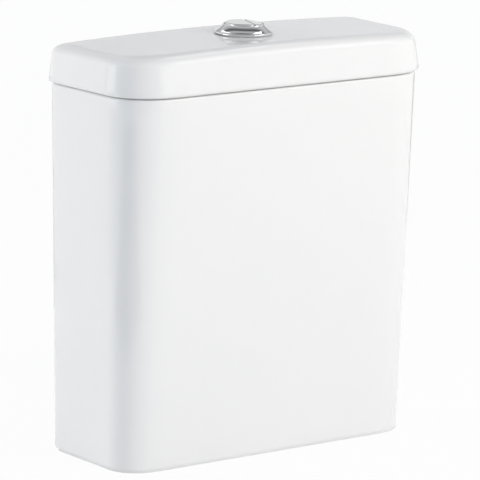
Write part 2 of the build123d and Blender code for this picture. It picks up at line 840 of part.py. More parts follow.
def inlet_filter():
    """Small slotted strainer pushed up into the tail's bore."""
    outer = inlet_bore_radius - thread_clearance
    high = inlet_end_height + filter_length
    body = rod(outer, inlet_end_height, high)
    body -= rod(outer - filter_wall, inlet_end_height, high - filter_wall)
    slot = block(
        0,
        inlet_bore_radius,
        -filter_slot_width / 2,
        filter_slot_width / 2,
        inlet_end_height + filter_slot_margin,
        high - filter_slot_margin,
    )
    return on_fill(body - round_about(slot, filter_slot_count))


def riser_tube():
    """Plastic tube from the inlet fitting up to the valve head."""
    low = shank_top - shank_socket_depth
    return on_fill(tube(riser_radius, riser_bore_radius, low, riser_top_height))


def riser_lock_ring():
    """Ring nut on the inlet fitting that fixes the height of the riser."""
    high = shank_top + lock_ring_height
    ring = tube(lock_ring_radius, riser_radius + thread_clearance, shank_top, high)
    grip = Pos(lock_ring_radius, 0, 0) * rod(lock_ring_grip_radius, shank_top, high)
    return on_fill(ring - round_about(grip, lock_ring_grip_count))


def fill_valve_head():
    """Valve body on the riser, with a side arm that turns down into the silencer pipe."""
    arm_z = head_top - outlet_arm_drop - outlet_arm_radius
    cup_low = arm_z - outlet_arm_radius - outlet_cup_height
    body = rod(head_radius, head_bottom, head_top)
    arm = Cylinder(outlet_arm_radius, outlet_offset, rotation=(0, 90, 0))
    body += Pos(outlet_offset / 2, 0, arm_z) * arm
    cup_radius = silencer_radius + outlet_cup_wall
    body += Pos(outlet_offset, 0, 0) * rod(cup_radius, cup_low, arm_z + outlet_arm_radius)
    duct = Cylinder(outlet_bore_radius, outlet_offset, rotation=(0, 90, 0))
    body -= Pos(outlet_offset / 2, 0, arm_z) * duct
    body -= Pos(outlet_offset, 0, 0) * rod(outlet_bore_radius, cup_low, arm_z)
    socket_high = cup_low + outlet_cup_height
    body -= Pos(outlet_offset, 0, 0) * rod(silencer_radius + thread_clearance, cup_low, socket_high)
    body -= rod(riser_radius + thread_clearance, head_bottom, riser_top_height)
    body -= rod(riser_bore_radius, head_bottom, head_top)
    return on_fill(body)


def silencer_pipe():
    """Plastic pipe that leads the incoming water down to the floor quietly."""
    arm_z = head_top - outlet_arm_drop - outlet_arm_radius
    high = arm_z - outlet_arm_radius
    pipe = tube(silencer_radius, outlet_bore_radius, high - silencer_length, high)
    return on_fill(Pos(outlet_offset, 0, 0) * pipe)


def diaphragm():
    """Rubber disc between the valve head and its cap."""
    return on_fill(rod(diaphragm_radius, head_top, cap_underside))


def head_cap():
    """Screw cap over the diaphragm, with two ears for the lever pin."""
    body = rod(cap_ring_radius, cap_crown_top - cap_ring_height, cap_crown_top)
    body -= rod(head_radius + thread_clearance, cap_crown_top - cap_ring_height, cap_underside)
    groove = Pos(cap_ring_radius, 0, 0) * rod(
        cap_grip_depth, cap_crown_top - cap_ring_height, cap_crown_top - cap_crown_thickness
    )
    body -= round_about(groove, cap_grip_count, 180 / cap_grip_count)
    arm_z = head_top - outlet_arm_drop - outlet_arm_radius
    notch_half = outlet_arm_radius + loose_clearance
    body -= block(0, cap_ring_radius, -notch_half, notch_half, head_bottom, arm_z + notch_half)
    inner = ear_gap / 2
    for side in (-1, 1):
        near, far = sorted((side * inner, side * (inner + ear_thickness)))
        ear_top = cap_crown_top + lever_ear_rise
        ear = block(-ear_length / 2, ear_length / 2, near, far, cap_crown_top, ear_top)
        ear = fillet(ear.edges().filter_by(Axis.Y).sort_by(Axis.Z)[-2:], ear_corner_radius)
        body += Pos(lever_pivot_x, 0, 0) * ear
    bore = Cylinder(lever_pin_radius + thread_clearance, 2 * cap_ring_radius, rotation=(90, 0, 0))
    return on_fill(body - Pos(lever_pivot_x, 0, lever_z) * bore)


def lever_pin():
    """Steel pin through the ears and the lever."""
    length = ear_gap + 2 * ear_thickness
    pin = Cylinder(lever_pin_radius, length, rotation=(90, 0, 0))
    return on_fill(Pos(lever_pivot_x, 0, lever_z) * pin)


def fill_lever():
    """Lever from the float link over the cap: the float lifts its fork, its short end shuts the valve."""
    half = lever_width / 2
    low = lever_z - lever_thickness / 2
    high = lever_z + lever_thickness / 2
    fork_start = link_x + lever_fork_length / 2
    bar = block(fork_start, lever_pivot_x + lever_short_arm, -half, half, low, high)
    bar += Pos(lever_pivot_x, 0, lever_z) * Cylinder(lever_boss_radius, lever_width, rotation=(90, 0, 0))
    fork_half = lever_fork_width / 2
    bar += block(fork_start - lever_fork_length, fork_start + overrun, -fork_half, fork_half, low, high)
    slot_half = lever_fork_slot / 2
    bar -= block(fork_start - lever_fork_length, fork_start, -slot_half, slot_half, low, high)
    bore = Cylinder(lever_pin_radius + thread_clearance, lever_width, rotation=(90, 0, 0))
    return on_fill(bar - Pos(lever_pivot_x, 0, lever_z) * bore)


def float_cup():
    """Closed float that slides on the riser, with an ear that holds the link."""
    high = float_place + float_height
    body = rod(float_radius, float_place, high)
    body = fillet(body.edges(), float_edge_radius)
    ear_half = float_ear_width / 2
    far = link_x - float_ear_end
    body += block(far, -riser_radius - overrun, -ear_half, ear_half, high - float_ear_thickness, high)
    body -= rod(riser_radius + float_bore_clearance, float_place, high)
    body -= Pos(link_x, 0, 0) * rod(link_radius + thread_clearance, float_place, high)
    return on_fill(body)


def float_link():
    """Adjusting screw from the float's ear up through the lever's fork, with two collars."""
    high = float_place + float_height
    low_collar = lever_z - lever_thickness / 2 - link_collar_gap
    high_collar = lever_z + lever_thickness / 2 + link_collar_gap
    bar = rod(link_radius, high - float_ear_thickness, high_collar + link_collar_height)
    bar += rod(link_collar_radius, low_collar - link_collar_height, low_collar)
    bar += rod(link_screw_head_radius, high_collar, high_collar + link_collar_height)
    return on_fill(Pos(link_x, 0, 0) * bar)


def link_clip():
    """Clip that locks the adjusting screw on the float's ear."""
    low = float_place + float_height
    clip = tube(link_clip_radius, link_radius + thread_clearance, low, low + link_clip_height)
    return on_fill(Pos(link_x, 0, 0) * clip)


pieces = {
    "cistern_tank": cistern_tank(),
    "lid": lid(),
    "button_bezel": button_bezel(),
    "bezel_washer": bezel_washer(),
    "bezel_nut": bezel_nut(),
    "button_guide": button_guide(),
    "full_flush_button": button_cap(-1),
    "half_flush_button": button_cap(1),
    "full_push_rod": push_rod(-full_rod_offset),
    "half_push_rod": push_rod(half_rod_offset),
    "full_button_spring": button_spring(-full_rod_offset),
    "half_button_spring": button_spring(half_rod_offset),
    "valve_base": valve_base(),
    "base_washer": base_washer(),
    "tail_nut": tail_nut(),
    "coupling_washer": coupling_washer(),
    "valve_tower": valve_tower(),
    "tower_head": tower_head(),
    "full_rocker_pin": rocker_pin(-1),
    "half_rocker_pin": rocker_pin(1),
    "full_rocker": rocker(-1, full_pad_arm),
    "half_rocker": rocker(1, half_pad_arm),
    "lift_yoke": lift_yoke(),
    "overflow_tube": overflow_tube(),
    "seat_seal": seat_seal(),
    "seal_clamp": seal_clamp(),
    "tube_float": tube_float(),
    "float_clip": float_clip(),
    "inlet_shank": inlet_shank(),
    "inlet_washer": inlet_washer(),
    "inlet_nut": inlet_nut(),
    "inlet_filter": inlet_filter(),
    "riser_tube": riser_tube(),
    "riser_lock_ring": riser_lock_ring(),
    "fill_valve_head": fill_valve_head(),
    "silencer_pipe": silencer_pipe(),
    "diaphragm": diaphragm(),
    "head_cap": head_cap(),
    "lever_pin": lever_pin(),
    "fill_lever": fill_lever(),
    "float_cup": float_cup(),
    "float_link": float_link(),
    "link_clip": link_clip(),
}

os.makedirs("parts", exist_ok=True)
for name, piece in pieces.items():
    export_step(piece, f"parts/{name}.step")
print("full rocker swing, degrees:", round(degrees(full_swing), 2), "tube lift, mm:", round(tube_lift, 3))
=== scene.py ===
import json
from math import atan2, cos, pi, radians, sin, tan

import bmesh
import bpy
from mathutils import Matrix, Vector


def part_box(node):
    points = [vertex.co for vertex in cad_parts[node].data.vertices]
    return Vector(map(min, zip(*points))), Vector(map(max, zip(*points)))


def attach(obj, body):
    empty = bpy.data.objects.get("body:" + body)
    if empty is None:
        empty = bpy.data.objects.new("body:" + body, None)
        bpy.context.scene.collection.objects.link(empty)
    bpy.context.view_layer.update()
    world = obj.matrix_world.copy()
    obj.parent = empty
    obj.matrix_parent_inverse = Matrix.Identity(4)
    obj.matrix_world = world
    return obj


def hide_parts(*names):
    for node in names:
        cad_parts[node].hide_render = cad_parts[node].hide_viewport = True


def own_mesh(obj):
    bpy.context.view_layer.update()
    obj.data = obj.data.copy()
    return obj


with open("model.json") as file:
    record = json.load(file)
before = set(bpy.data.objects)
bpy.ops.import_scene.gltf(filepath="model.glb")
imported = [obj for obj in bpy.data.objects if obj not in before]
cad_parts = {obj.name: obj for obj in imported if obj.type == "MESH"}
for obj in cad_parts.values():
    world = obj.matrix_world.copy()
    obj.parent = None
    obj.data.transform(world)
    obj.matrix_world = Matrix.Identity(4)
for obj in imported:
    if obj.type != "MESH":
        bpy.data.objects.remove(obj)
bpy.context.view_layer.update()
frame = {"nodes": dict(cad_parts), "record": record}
nodes = frame["nodes"]
mm = 0.001

# The tank is one piece of vitreous china, slip cast and fired with a white glaze. Its outer
# walls taper down to the foot, and a skirt round the hollow underside hides the valve tails.
# Only the narrow foot rim is left unglazed, where the piece stood in the kiln.
tank_low, tank_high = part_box("cistern_tank")
tank_height = tank_high.z / mm
back_y = tank_high.y / mm
front_width_top = 355.0
back_width_top = (tank_high.x - tank_low.x) / mm
front_width_foot = 341.0
back_width_foot = 338.0
depth_top = (tank_high.y - tank_low.y) / mm
depth_foot = 123.0
wide_corner_radius = 140.0
wide_corner_turn = radians(8.3)
tight_corner_top = 42.5
tight_corner_foot = 30.0
rear_corner = 9.0
least_corner = 5.0
heel_radius = 18.0
foot_round = 1.6
rim_round = 2.4
china_wall = 9.0
china_floor = 10.0
skirt_wall = 10.0
rear_skirt_wall = 24.0
underside_depth = 34.0
inside_round = 4.5
valve_y = 3.0
tail_hole = 31.2
sharp_angle = radians(38)


def mix(low, high, share):
    """Value part of the way from low to high."""
    return low + (high - low) * share


def arc(radius, start, stop, count):
    """Steps along an arc by heading, from its start, without the first point."""
    steps = []
    for n in range(1, count + 1):
        heading = mix(start, stop, n / count)
        steps.append((radius * (sin(heading) - sin(start)), radius * (cos(start) - cos(heading))))
    return steps


def outline(front_width, back_width, front_y, rear_y, wide, tight, rear):
    """Level outline of the china as evenly matched points, counterclockwise from the front's middle."""
    lean = atan2((back_width - front_width) / 2, rear_y - front_y)
    side_heading = pi / 2 - lean
    wide_steps = arc(wide, 0, wide_corner_turn, 8)
    tight_steps = arc(tight, wide_corner_turn, side_heading, 22)
    side_y = front_y + wide_steps[-1][1] + tight_steps[-1][1]
    side_x = front_width / 2 + (side_y - front_y) * tan(lean)
    corner_x = side_x - tight_steps[-1][0] - wide_steps[-1][0]
    half = [(corner_x * n / 12, front_y) for n in range(12)]
    half.append((corner_x, front_y))
    half += [(corner_x + x, front_y + y) for x, y in wide_steps]
    x, y = half[-1]
    half += [(x + dx, y + dy) for dx, dy in tight_steps]
    rear_steps = arc(rear, side_heading, pi, 10)
    rear_start = rear_y - rear_steps[-1][1]
    rear_x = front_width / 2 + (rear_start - front_y) * tan(lean)
    half += [(mix(side_x, rear_x, n / 8), mix(side_y, rear_start, n / 8)) for n in range(1, 9)]
    half += [(rear_x + dx, rear_start + dy) for dx, dy in rear_steps]
    end_x = half[-1][0]
    half += [(end_x * (1 - n / 12), rear_y) for n in range(1, 13)]
    left = [(-x, y) for x, y in reversed(half[1:-1])]
    return half + left


def tank_outline(z, inset=0.0, rear_inset=None):
    """Outline of the tank's taper at a height, drawn in by a wall."""
    share = z / tank_height
    if rear_inset is None:
        rear_inset = inset
    return outline(
        mix(front_width_foot, front_width_top, share) - 2 * inset,
        mix(back_width_foot, back_width_top, share) - 2 * inset,
        back_y - mix(depth_foot, depth_top, share) + inset,
        back_y - rear_inset,
        wide_corner_radius - inset,
        max(mix(tight_corner_foot, tight_corner_top, share) - inset, least_corner),
        max(rear_corner - inset, least_corner),
    )


def at_height(points, z):
    """An outline's points as a ring at one height."""
    return [(x, y, z) for x, y in points]


def quarter(count):
    """Pairs of shares that trace a quarter circle from its start to its end."""
    return [(1 - cos(pi / 2 * n / count), sin(pi / 2 * n / count)) for n in range(count + 1)]


def ring_about(points, radius, z):
    """A level circle whose points lie in the directions of an outline's points."""
    ring = []
    for x, y in points:
        angle = atan2(y - valve_y, x)
        ring.append((radius * cos(angle), valve_y + radius * sin(angle), z))
    return ring


def between(first, last, count):
    """Rings that lead from one ring to another, without either."""
    rings = []
    for n in range(1, count):
        share = n / count
        rings.append([tuple(mix(a, b, share) for a, b in zip(p, q)) for p, q in zip(first, last)])
    return rings


def mesh_piece(name, mesh_data, body):
    """Object of a finished mesh, smooth but for its sharp edges, riding on a body."""
    mesh = bpy.data.meshes.new(name)
    mesh_data.normal_update()
    mesh_data.to_mesh(mesh)
    mesh_data.free()
    mesh.shade_smooth()
    mesh.set_sharp_from_angle(angle=sharp_angle)
    piece = bpy.data.objects.new(name, mesh)
    bpy.context.scene.collection.objects.link(piece)
    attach(piece, body)
    return piece


def skin(rings, closed=True):
    """Mesh through matched rings, in metres. A closed one runs from its last ring to its first."""
    data = bmesh.new()
    made = [[data.verts.new(Vector(point) * mm) for point in ring] for ring in rings]
    pairs = list(zip(made, made[1:]))
    if closed:
        pairs.append((made[-1], made[0]))
    for low, high in pairs:
        count = len(low)
        for n in range(count):
            after = (n + 1) % count
            data.faces.new((low[n], low[after], high[after], high[n]))
    bmesh.ops.recalc_face_normals(data, faces=data.faces)
    return data


def heel_limit(z):
    """How far back the foot reaches at a height, behind its rounded heel."""
    if z >= heel_radius:
        return back_y
    return back_y - heel_radius + (heel_radius ** 2 - (heel_radius - z) ** 2) ** 0.5


def tank_ring(z, inset=0.0):
    """Ring of the tank's outer skin at a height, cut short behind by the heel."""
    points = tank_outline(z, inset)
    limit = heel_limit(z) - inset
    return [(x, min(y, limit), z) for x, y in points]


def tank_rings():
    """The tank's skin: the underside from the tail hole out, up the walls, over the rim and in."""
    floor_z = underside_depth + china_floor
    ceiling = tank_outline(underside_depth, skirt_wall + inside_round, rear_skirt_wall + inside_round)
    rings = [ring_about(ceiling, tail_hole, underside_depth)]
    last = at_height(ceiling, underside_depth)
    rings += between(rings[0], last, 8)
    for across, down in quarter(6):
        gap = inside_round * (1 - down)
        z = underside_depth - inside_round * across
        rings.append(at_height(tank_outline(z, skirt_wall + gap, rear_skirt_wall + gap), z))
    for across, down in quarter(4):
        step = foot_round * across
        z = foot_round * (1 - down)
        rings.append(at_height(tank_outline(z, skirt_wall - step, rear_skirt_wall - step), z))
    for across, down in reversed(quarter(5)):
        z = foot_round * across
        rings.append(tank_ring(z, foot_round * (1 - down)))
    for n in range(1, 13):
        rings.append(tank_ring(mix(foot_round, heel_radius, n / 12)))
    top = tank_height - rim_round
    for n in range(1, 15):
        rings.append(tank_ring(mix(heel_radius, top, n / 14)))
    for across, up in quarter(5)[1:]:
        z = top + rim_round * up
        rings.append(at_height(tank_outline(z, rim_round * across), z))
    for across, down in reversed(quarter(5)):
        z = top + rim_round * down
        rings.append(at_height(tank_outline(z, china_wall - rim_round * across), z))
    for n in range(1, 11):
        z = mix(top, floor_z + inside_round, n / 10)
        rings.append(at_height(tank_outline(z, china_wall), z))
    for across, down in quarter(6)[1:]:
        z = floor_z + inside_round * (1 - down)
        rings.append(at_height(tank_outline(z, china_wall + inside_round * across), z))
    inner = rings[-1]
    floor_circle = ring_about([(x, y) for x, y, z in inner], tail_hole, floor_z)
    rings += between(inner, floor_circle, 8)
    rings.append(floor_circle)
    return rings


def cut_holes(piece, holes):
    """Round holes with softened edges, each given as centre, direction, radius and half length."""
    data = bmesh.new()
    sides = 48
    flare = 1.2 * mm
    margin = 3 * flare
    for centre, direction, radius, reach in holes:
        turn = Vector((0, 0, 1)).rotation_difference(Vector(direction)).to_matrix()
        profile = [(radius + margin, -reach - margin)]
        for across, along in quarter(4):
            profile.append((radius + flare * (1 - along), -reach + flare * across))
        profile += [(r, -h) for r, h in reversed(profile)]
        made = []
        for r, h in profile:
            ring = []
            for n in range(sides):
                angle = 2 * pi * n / sides
                offset = turn @ Vector((r * cos(angle), r * sin(angle), h))
                ring.append(data.verts.new(Vector(centre) + offset))
            made.append(ring)
        for low, high in zip(made, made[1:]):
            for n in range(sides):
                after = (n + 1) % sides
                data.faces.new((low[n], low[after], high[after], high[n]))
        data.faces.new(list(reversed(made[0])))
        data.faces.new(made[-1])
    bmesh.ops.recalc_face_normals(data, faces=data.faces)
    mesh = bpy.data.meshes.new("drill")
    data.to_mesh(mesh)
    data.free()
    drill = bpy.data.objects.new("drill", mesh)
    bpy.context.scene.collection.objects.link(drill)
    cut = piece.modifiers.new("holes", "BOOLEAN")
    cut.operation = "DIFFERENCE"
    cut.solver = "EXACT"
    cut.object = drill
    drilled = bpy.data.meshes.new_from_object(piece.evaluated_get(bpy.context.evaluated_depsgraph_get()))
    piece.modifiers.clear()
    piece.data = drilled
    bpy.data.objects.remove(drill)
    drilled.shade_smooth()
    drilled.set_sharp_from_angle(angle=sharp_angle)


tank = mesh_piece("china_tank", skin(tank_rings()), "cistern")
inlet_x = -110.0
inlet_y = 4.0
inlet_hole = 11.5
bolt_x = 75.0
bolt_hole = 5.5
screw_x = 125.0
screw_hole = 4.0
screw_drop = 40.0
screw_z = tank_height - screw_drop
floor_middle = underside_depth + china_floor / 2
wall_middle = back_y - china_wall / 2
drillings = [
    (Vector((inlet_x, inlet_y, floor_middle)) * mm, (0, 0, 1), inlet_hole * mm, china_floor / 2 * mm)
]
for side in (-1, 1):
    bolt = Vector((side * bolt_x, valve_y, floor_middle)) * mm
    screw = Vector((side * screw_x, wall_middle, screw_z)) * mm
    drillings.append((bolt, (0, 0, 1), bolt_hole * mm, china_floor / 2 * mm))
    drillings.append((screw, (0, 1, 0), screw_hole * mm, china_wall / 2 * mm))
cut_holes(tank, drillings)
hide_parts("cistern_tank")


class Wire:
    """A number or colour on its way through a finish's nodes: sums on it add Math nodes."""

    def __init__(self, finish, socket):
        self.finish = finish
        self.socket = socket

    def sum(self, operation, first, second):
        """A Math node on two numbers or wires."""
        return self.finish.node("ShaderNodeMath", {"operation": operation}, {0: first, 1: second})

    def __add__(self, other):
        return self.sum("ADD", self, other)

    def __sub__(self, other):
        return self.sum("SUBTRACT", self, other)

    def __rsub__(self, other):
        return self.sum("SUBTRACT", other, self)

    def __mul__(self, other):
        return self.sum("MULTIPLY", self, other)

    def __truediv__(self, other):
        return self.sum("DIVIDE", self, other)

    __radd__ = __add__
    __rmul__ = __mul__


class Finish:
    """A material under construction."""

    def __init__(self, name, tree=None):
        if tree is None:
            self.material = bpy.data.materials.new(name)
            self.material.use_nodes = True
            tree = self.material.node_tree
        self.tree = tree

    def node(self, kind, settings, inputs, output=0):
        """Add a node: its settings first, then values or wires on its sockets."""
        made = self.tree.nodes.new(kind)
        for key, value in settings.items():
            if key == "stops":
                ramp = made.color_ramp
                for place, shade in value[len(ramp.elements):]:
                    ramp.elements.new(place)
                for element, (place, shade) in zip(ramp.elements, value):
                    element.position = place
                    element.color = (*shade, 1)
            else:
                setattr(made, key, value)
        self.feed(made, inputs)
        return Wire(self, made.outputs[output])

    def feed(self, made, inputs):
        """Put values or wires on a node's sockets."""
        for key, value in inputs.items():
            if isinstance(value, Wire):
                self.tree.links.new(value.socket, made.inputs[key])
            else:
                made.inputs[key].default_value = value

    def noise(self, place, scale, detail=2.0, roughness=0.5):
        """Soft random pattern between 0 and 1."""
        values = {"Vector": place, "Scale": scale, "Detail": detail, "Roughness": roughness}
        return self.node("ShaderNodeTexNoise", {}, values, "Fac")

    def blend(self, share, first, second):
        """Colour between two colours."""
        values = {"Factor": share, 6: first, 7: second}
        return self.node("ShaderNodeMix", {"data_type": "RGBA"}, values, 2)

    def bump(self, height, depth, strength):
        """Relief of a depth in metres where a height goes from 0 to 1."""
        return self.node("ShaderNodeBump", {}, {"Strength": strength, "Distance": depth, "Height": height})

    def place(self):
        """Position on the piece itself, in metres, which stays with it when it moves."""
        return self.node("ShaderNodeTexCoord", {}, {}, "Object")

    def surface(self, inputs):
        """Set the sockets of the material's own shader."""
        self.feed(self.tree.nodes["Principled BSDF"], inputs)
        return self.material


def band(finish, value, low, high):
    """Share that rises from 0 to 1 as a value passes from low to high."""
    values = {"Value": value, "From Min": low, "From Max": high}
    return finish.node("ShaderNodeMapRange", {"interpolation_type": "SMOOTHSTEP"}, values)


def china_finish(name, gloss, bare_low, bare_high):
    """White glaze with a faint ripple, and bare fired clay on the rim the piece was fired on."""
    finish = Finish(name)
    place = finish.place()
    height = finish.node("ShaderNodeSeparateXYZ", {}, {0: place}, "Z")
    drift = finish.noise(place, 7.0, 3.0)
    ripple = finish.noise(place, 34.0, 1.0)
    grain = finish.noise(place, 2600.0, 3.0)
    speck = finish.node("ShaderNodeTexVoronoi", {}, {"Vector": place, "Scale": 120.0}, "Distance")
    dot = 1 - band(finish, speck, 0.03, 0.06)
    bare = band(finish, height + (grain - 0.5) * (0.08 * mm), bare_high, bare_low)
    glaze = finish.blend(drift, (0.885, 0.888, 0.888, 1), (0.905, 0.907, 0.905, 1))
    glaze = finish.blend(dot * 0.05, glaze, (0.62, 0.6, 0.56, 1))
    clay = finish.blend(grain, (0.66, 0.62, 0.55, 1), (0.8, 0.77, 0.71, 1))
    relief = ripple * (1 - bare) + grain * bare * 0.3
    return finish.surface(
        {
            "Base Color": finish.blend(bare, glaze, clay),
            "Roughness": gloss + drift * 0.03 + bare * 0.6,
            "Normal": finish.bump(relief, 0.25 * mm, 0.35),
        }
    )


tank.data.materials.clear()
tank.data.materials.append(china_finish("tank_glaze", 0.06, 0.02 * mm, 0.1 * mm))

# The lid is a second china casting, crowned so that water runs off, with softly rounded top
# edges. It stands on the tank's rim on a narrow foot, and a lip inside the foot keeps it from
# sliding. The push button passes through the round hole in its middle.
seam = 1.2
lid_overhang = 3.3
lid_base = tank_height + seam
lid_side = 36.2
crown = 4.2
side_draft = tan(radians(7.2))
front_draft = tan(radians(12.4))
rear_draft = tan(radians(2.0))
side_round = 10.0
front_round = 14.3
rear_round = 17.0
lower_round = 3.0
front_inset_share = 0.5
rear_inset_share = 0.3
foot_inset = 3.5
lip_inset = 11.0
lip_wall = 5.0
lip_drop = 7.0
lid_wall = 9.0
lid_hole = 21.0
hole_round = 2.0
lip_round = 1.5
lip_shoulder_in = 0.5
lip_shoulder_up = 0.4
foot_chamfer = 0.8
lid_half_width = back_width_top / 2 + lid_overhang


def crown_at(x):
    """Height of the crown over the lid's edge at a distance from the middle."""
    return crown * (1 - (x / lid_half_width) ** 2)


def lid_ring(side_in, front_in, rear_in, z):
    """Outline of the lid drawn in by its side, front and rear, raised by the crown's share."""
    points = outline(
        front_width_top + 2 * (lid_overhang - side_in),
        back_width_top + 2 * (lid_overhang - side_in),
        back_y - depth_top - lid_overhang + front_in,
        back_y + lid_overhang - rear_in,
        wide_corner_radius,
        tight_corner_top + lid_overhang - front_inset_share * front_in,
        rear_corner + lid_overhang - rear_inset_share * rear_in,
    )
    share = (z - lid_base) / lid_side
    return [(x, y, z + crown_at(x) * share) for x, y in points]


def lid_rings():
    """The lid's skin: up its sides, over the crowned top to the hole, and back through the hollow."""
    rings = []
    for n in range(4):
        inset = lower_round * (1 - sin(pi / 2 * n / 3))
        z = lid_base + lower_round * (1 - cos(pi / 2 * n / 3))
        rings.append(lid_ring(inset, inset, inset, z))
    rises = ((side_round, side_draft), (front_round, front_draft), (rear_round, rear_draft))
    for n in range(1, 8):
        z = mix(lid_base + lower_round, lid_base + lid_side - side_round, n / 8)
        share = n / 8
        rings.append(lid_ring(*[share * d * (lid_side - r - lower_round) for r, d in rises], z))
    for n in range(17):
        angle = pi / 2 * n / 16
        drawn = [d * (lid_side - r - lower_round) + r * (1 - cos(angle)) for r, d in rises]
        rings.append(lid_ring(*drawn, lid_base + lid_side - side_round * (1 - sin(angle))))
    edge = rings[-1]
    top_z = lid_base + lid_side
    flat_edge = [(x, y) for x, y, z in edge]
    hole_ring = ring_about(flat_edge, lid_hole + hole_round, 0)
    for ring in between(edge, hole_ring, 14):
        rings.append([(x, y, top_z + crown_at(x)) for x, y, z in ring])
    for across, down in quarter(4):
        radius = lid_hole + hole_round * (1 - down)
        circle = ring_about(flat_edge, radius, 0)
        rings.append([(x, y, top_z + crown_at(x) - hole_round * across) for x, y, z in circle])
    ceiling_z = top_z - lid_wall
    circle = ring_about(flat_edge, lid_hole, 0)
    rings.append([(x, y, ceiling_z + crown_at(x)) for x, y, z in circle])
    hollow_inset = lip_inset + lip_wall
    reach = tank_outline(tank_height, hollow_inset + inside_round)
    hollow_edge = [(x, y, ceiling_z + crown_at(x)) for x, y in reach]
    for ring in between(rings[-1], hollow_edge, 10):
        rings.append([(x, y, ceiling_z + crown_at(x)) for x, y, z in ring])
    for across, down in quarter(5):
        points = tank_outline(tank_height, hollow_inset + inside_round * (1 - down))
        rings.append([(x, y, ceiling_z + crown_at(x) - inside_round * across) for x, y in points])
    lip_z = tank_height - lip_drop
    stations = [
        (hollow_inset, lip_z + lip_round),
        (hollow_inset - lip_shoulder_in, lip_z + lip_shoulder_up),
        (hollow_inset - lip_round, lip_z),
        (lip_inset + lip_round, lip_z),
        (lip_inset + lip_shoulder_in, lip_z + lip_shoulder_up),
        (lip_inset, lip_z + lip_round),
        (lip_inset, tank_height - foot_chamfer),
        (lip_inset - foot_chamfer, tank_height),
        (foot_inset + foot_chamfer, tank_height),
        (foot_inset, tank_height + foot_chamfer),
        (foot_inset, lid_base),
    ]
    for inset, z in stations:
        rings.append(at_height(tank_outline(tank_height, inset), z))
    return rings


lid = mesh_piece("china_lid", skin(lid_rings()), "lid")
lid_glaze = china_finish("lid_glaze", 0.1, tank_height * mm, (tank_height + 0.1) * mm)
lid.data.materials.append(lid_glaze)
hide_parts("lid")

# The push button's bezel is a chromed ring with a domed flange that lies on the lid. Its
# threaded sleeve goes down through the lid's hole, and a ring nut below the lid pulls it tight.
bezel_low, bezel_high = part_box("button_bezel")
crest = lid_base + lid_side + crown
bezel_radius = (bezel_high.x - bezel_low.x) / 2 / mm
bezel_top = bezel_high.z / mm
sleeve_bottom = bezel_low.z / mm
rim_height = 2.9
rim_nose = 1.3
ring_radius = 19.7
well_radius = 18.6
sleeve_radius = 20.45
bore_round = 0.3
ring_round = 0.35
bezel_bulge = 0.5
bezel_sides = 144
thread_pitch = 2.0
thread_depth = 0.55
thread_start = 2.0
rows_per_pitch = 6


def lathe(profile, sides):
    """Rings turned about the button's axis, from a profile of radius and height in mm."""
    rings = []
    for radius, z in profile:
        ring = []
        for n in range(sides):
            angle = 2 * pi * n / sides
            ring.append((radius * cos(angle), valve_y + radius * sin(angle), z))
        rings.append(ring)
    return rings


def bow(start, end, bulge, count):
    """Points of a shallow arc that stands out from the line between two points."""
    run = Vector(end) - Vector(start)
    out = Vector((run.y, -run.x)).normalized() * bulge
    points = []
    for n in range(1, count + 1):
        share = n / count
        point = Vector(start) + run * share + out * 4 * share * (1 - share)
        points.append((point.x, point.y))
    return points


def thread(sides, top, bottom, outer):
    """Rings of a helical thread between two heights."""
    rows = int((top - bottom) / thread_pitch * rows_per_pitch)
    rings = []
    for row in range(rows + 1):
        z = mix(top, bottom, row / rows)
        ring = []
        for n in range(sides):
            angle = 2 * pi * n / sides
            phase = ((z - bottom) / thread_pitch + n / sides) % 1
            depth = thread_depth * abs(2 * phase - 1)
            radius = outer - depth
            ring.append((radius * cos(angle), valve_y + radius * sin(angle), z))
        rings.append(ring)
    return rings


def bezel_mesh():
    """The bezel's skin: up its bore, over the domed flange, under it and down the thread."""
    nose = bezel_radius - rim_nose
    bore_top = bezel_top - bore_round
    ring_top = bezel_top - ring_round
    profile = [(well_radius, sleeve_bottom), (well_radius, bore_top)]
    for across, up in quarter(4):
        profile.append((well_radius + bore_round * across, bore_top + bore_round * up))
    for n in range(5):
        angle = pi / 8 * n
        radius = ring_radius - ring_round + ring_round * sin(angle)
        profile.append((radius, ring_top + ring_round * cos(angle)))
    profile += bow((ring_radius, ring_top), (nose, crest + rim_height), bezel_bulge, 16)
    for n in range(1, 13):
        angle = pi / 2 - pi * n / 12
        half = rim_height / 2
        profile.append((nose + rim_nose * cos(angle), crest + half + half * sin(angle)))
    profile += [(sleeve_radius, crest)]
    rings = lathe(profile, bezel_sides)
    rings += thread(bezel_sides, crest - thread_start, sleeve_bottom, sleeve_radius)
    return skin(rings)


def chrome_finish(name):
    """Polished chrome with faint wiping marks and a trace of haze."""
    finish = Finish(name)
    place = finish.place()
    haze = finish.noise(place, 90.0, 3.0)
    marks = finish.noise(place, 1400.0, 2.0, 0.6)
    fine = band(finish, marks, 0.55, 0.75)
    tone = finish.blend(haze, (0.7, 0.71, 0.725, 1), (0.76, 0.77, 0.78, 1))
    return finish.surface(
        {
            "Base Color": tone,
            "Metallic": 1.0,
            "Roughness": 0.045 + haze * 0.03 + fine * 0.04,
            "Normal": finish.bump(haze + marks * 0.05, 0.03 * mm, 0.3),
        }
    )


bezel = mesh_piece("chrome_bezel", bezel_mesh(), "lid")
chrome = chrome_finish("polished_chrome")
bezel.data.materials.append(chrome)
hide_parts("button_bezel")

